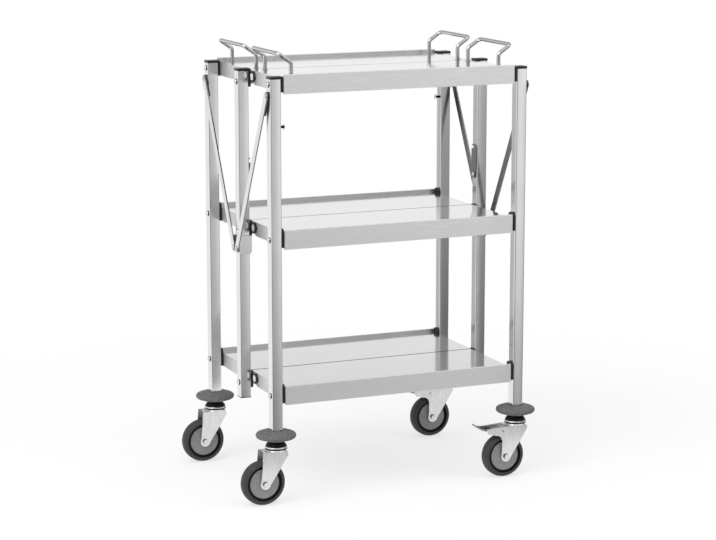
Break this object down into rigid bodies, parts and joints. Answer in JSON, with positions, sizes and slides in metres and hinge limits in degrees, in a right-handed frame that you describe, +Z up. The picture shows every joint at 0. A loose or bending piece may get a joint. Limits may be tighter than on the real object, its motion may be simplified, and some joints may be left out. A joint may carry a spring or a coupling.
{
  "type": "folding serving trolley",
  "caption": "Three-shelf stainless serving trolley on swivel casters; each shelf is hinged along its middle, so the trolley folds flat between its corner posts.",
  "frame": {"origin": "on the floor, under the middle of the overall outline with its wheels turned as in the picture; the posts' middle lies 18.5 mm to the right of it", "axes": "+Z up; -Y the long side shown in the picture; +X to the right along the shelves"},
  "size_m": [0.719, 0.487, 0.9995],
  "materials": {
    "post_steel": "brushed stainless square tube",
    "shelf_steel": "polished stainless sheet",
    "black_plastic": "moulded black nylon",
    "fastener_steel": "plated fasteners",
    "handle_steel": "polished stainless rod",
    "brace_steel": "stainless flat bar",
    "bumper_rubber": "charcoal bumper rubber",
    "swivel_steel": "plated swivel rings",
    "fork_steel": "zinc-plated pressed steel",
    "tyre_rubber": "dark grey tyre",
    "hub_plastic": "moulded mid-grey nylon",
    "pedal_steel": "zinc-plated pressed pedal"
  },
  "bodies": {
    "front_frame": {"post_front_left": "post_steel", "post_front_right": "post_steel", "hinge_blocks_front": "black_plastic", "bolts_front": "fastener_steel", "bumpers_front": "bumper_rubber", "caster_heads_front": "swivel_steel"},
    "top_front_tray": {"tray_top_front": "shelf_steel", "discs_top_front": "black_plastic", "handle_front_left": "handle_steel", "handle_front_right": "handle_steel"},
    "middle_front_tray": {"tray_middle_front": "shelf_steel", "discs_middle_front": "black_plastic"},
    "lower_front_tray": {"tray_lower_front": "shelf_steel", "discs_lower_front": "black_plastic"},
    "middle_frame": {"post_middle_left": "post_steel", "post_middle_right": "post_steel", "hinge_blocks_middle": "black_plastic", "bolts_middle": "fastener_steel"},
    "top_rear_tray": {"tray_top_rear": "shelf_steel", "discs_top_rear": "black_plastic", "handle_rear_left": "handle_steel", "handle_rear_right": "handle_steel"},
    "middle_rear_tray": {"tray_middle_rear": "shelf_steel", "discs_middle_rear": "black_plastic"},
    "lower_rear_tray": {"tray_lower_rear": "shelf_steel", "discs_lower_rear": "black_plastic"},
    "rear_frame": {"post_rear_left": "post_steel", "post_rear_right": "post_steel", "hinge_blocks_rear": "black_plastic", "bolts_rear": "fastener_steel", "bumpers_rear": "bumper_rubber", "caster_heads_rear": "swivel_steel"},
    "sliders": {"slider_sleeves": "brace_steel", "slider_pads": "black_plastic"},
    "front_braces": {"braces_front": "brace_steel", "brace_spacers_front": "black_plastic", "brace_rivets_front": "fastener_steel"},
    "rear_braces": {"braces_rear": "brace_steel", "brace_spacers_rear": "black_plastic", "brace_rivets_rear": "fastener_steel"},
    "left_lever": {"lock_lever_left": "brace_steel"},
    "right_lever": {"lock_lever_right": "brace_steel"},
    "fork_front_left_body": {"fork_front_left": "fork_steel", "axle_front_left": "fastener_steel"},
    "wheel_front_left": {"tyre_front_left": "tyre_rubber", "hub_front_left": "hub_plastic"},
    "fork_front_right_body": {"fork_front_right": "fork_steel", "axle_front_right": "fastener_steel"},
    "wheel_front_right": {"tyre_front_right": "tyre_rubber", "hub_front_right": "hub_plastic"},
    "fork_rear_left_body": {"fork_rear_left": "fork_steel", "axle_rear_left": "fastener_steel"},
    "wheel_rear_left": {"tyre_rear_left": "tyre_rubber", "hub_rear_left": "hub_plastic"},
    "fork_rear_right_body": {"fork_rear_right": "fork_steel", "axle_rear_right": "fastener_steel"},
    "wheel_rear_right": {"tyre_rear_right": "tyre_rubber", "hub_rear_right": "hub_plastic"},
    "pedal_front": {"brake_pedal_front": "pedal_steel"},
    "pedal_rear": {"brake_pedal_rear": "pedal_steel"}
  },
  "joints": [
    {"name": "fold", "type": "hinge", "parent": "front_frame", "child": "top_front_tray", "pos_m": [0.0185, -0.1985, 0.9305], "axis": [1, 0, 0], "range_deg": [0, 79.94]},
    {"name": "middle_front_tray_turn", "type": "hinge", "parent": "front_frame", "child": "middle_front_tray", "pos_m": [0.0185, -0.1985, 0.5915], "axis": [1, 0, 0], "range_deg": [0, 79.94]},
    {"name": "lower_front_tray_turn", "type": "hinge", "parent": "front_frame", "child": "lower_front_tray", "pos_m": [0.0185, -0.1985, 0.2445], "axis": [1, 0, 0], "range_deg": [0, 79.94]},
    {"name": "middle_frame_turn", "type": "hinge", "parent": "top_front_tray", "child": "middle_frame", "pos_m": [0.0185, 0, 0.918], "axis": [1, 0, 0], "range_deg": [-79.94, 0]},
    {"name": "top_rear_tray_turn", "type": "hinge", "parent": "middle_frame", "child": "top_rear_tray", "pos_m": [0.0185, 0, 0.918], "axis": [1, 0, 0], "range_deg": [-79.94, 0]},
    {"name": "middle_rear_tray_turn", "type": "hinge", "parent": "middle_frame", "child": "middle_rear_tray", "pos_m": [0.0185, 0, 0.579], "axis": [1, 0, 0], "range_deg": [-79.94, 0]},
    {"name": "lower_rear_tray_turn", "type": "hinge", "parent": "middle_frame", "child": "lower_rear_tray", "pos_m": [0.0185, 0, 0.232], "axis": [1, 0, 0], "range_deg": [-79.94, 0]},
    {"name": "rear_frame_turn", "type": "hinge", "parent": "top_rear_tray", "child": "rear_frame", "pos_m": [0.0185, 0.1985, 0.9305], "axis": [1, 0, 0], "range_deg": [0, 79.94]},
    {"name": "slider_travel", "type": "slide", "parent": "middle_frame", "child": "sliders", "axis": [0, 0, 1], "range_m": [-0.25039, 0]},
    {"name": "front_brace_swing", "type": "hinge", "parent": "front_frame", "child": "front_braces", "pos_m": [0.0185, -0.1985, 0.906], "axis": [1, 0, 0], "range_deg": [-22.26, 0]},
    {"name": "rear_brace_swing", "type": "hinge", "parent": "rear_frame", "child": "rear_braces", "pos_m": [0.0185, 0.1985, 0.906], "axis": [1, 0, 0], "range_deg": [0, 22.26]},
    {"name": "left_lever_turn", "type": "hinge", "parent": "middle_frame", "child": "left_lever", "pos_m": [-0.2775, 0, 0.676], "axis": [1, 0, 0], "range_deg": [0, 132.96]},
    {"name": "right_lever_turn", "type": "hinge", "parent": "middle_frame", "child": "right_lever", "pos_m": [0.3145, 0, 0.676], "axis": [-1, 0, 0], "range_deg": [0, 132.96]},
    {"name": "swivel_front_left", "type": "hinge", "parent": "front_frame", "child": "fork_front_left_body", "pos_m": [-0.2775, -0.1985, 0.14], "axis": [0, 0, 1], "continuous": true},
    {"name": "roll_front_left", "type": "hinge", "parent": "fork_front_left_body", "child": "wheel_front_left", "pos_m": [-0.3095, -0.1985, 0.05], "axis": [0, 1, 0], "continuous": true},
    {"name": "swivel_front_right", "type": "hinge", "parent": "front_frame", "child": "fork_front_right_body", "pos_m": [0.3145, -0.1985, 0.14], "axis": [0, 0, 1], "continuous": true},
    {"name": "roll_front_right", "type": "hinge", "parent": "fork_front_right_body", "child": "wheel_front_right", "pos_m": [0.2825, -0.1985, 0.05], "axis": [0, 1, 0], "continuous": true},
    {"name": "swivel_rear_left", "type": "hinge", "parent": "rear_frame", "child": "fork_rear_left_body", "pos_m": [-0.2775, 0.1985, 0.14], "axis": [0, 0, 1], "continuous": true},
    {"name": "roll_rear_left", "type": "hinge", "parent": "fork_rear_left_body", "child": "wheel_rear_left", "pos_m": [-0.3095, 0.1985, 0.05], "axis": [0, 1, 0], "continuous": true},
    {"name": "swivel_rear_right", "type": "hinge", "parent": "rear_frame", "child": "fork_rear_right_body", "pos_m": [0.3145, 0.1985, 0.14], "axis": [0, 0, 1], "continuous": true},
    {"name": "roll_rear_right", "type": "hinge", "parent": "fork_rear_right_body", "child": "wheel_rear_right", "pos_m": [0.2825, 0.1985, 0.05], "axis": [0, 1, 0], "continuous": true},
    {"name": "brake_front", "type": "hinge", "parent": "fork_front_right_body", "child": "pedal_front", "pos_m": [0.2745, -0.1985, 0.1105], "axis": [0, -1, 0], "range_deg": [0, 12]},
    {"name": "brake_rear", "type": "hinge", "parent": "fork_rear_right_body", "child": "pedal_rear", "pos_m": [0.2745, 0.1985, 0.1105], "axis": [0, -1, 0], "range_deg": [0, 12]}
  ],
  "couplings": [
    {"joint": "middle_front_tray_turn", "follows": "fold", "ratio": 1},
    {"joint": "lower_front_tray_turn", "follows": "fold", "ratio": 1},
    {"joint": "middle_frame_turn", "follows": "fold", "ratio": -1},
    {"joint": "top_rear_tray_turn", "follows": "fold", "ratio": -1},
    {"joint": "middle_rear_tray_turn", "follows": "fold", "ratio": -1},
    {"joint": "lower_rear_tray_turn", "follows": "fold", "ratio": -1},
    {"joint": "rear_frame_turn", "follows": "fold", "ratio": 1},
    {"joint": "slider_travel", "follows": "fold", "m_per_rad": -0.17941},
    {"joint": "front_brace_swing", "follows": "fold", "ratio": -0.27831},
    {"joint": "rear_brace_swing", "follows": "fold", "ratio": 0.27831}
  ]
}
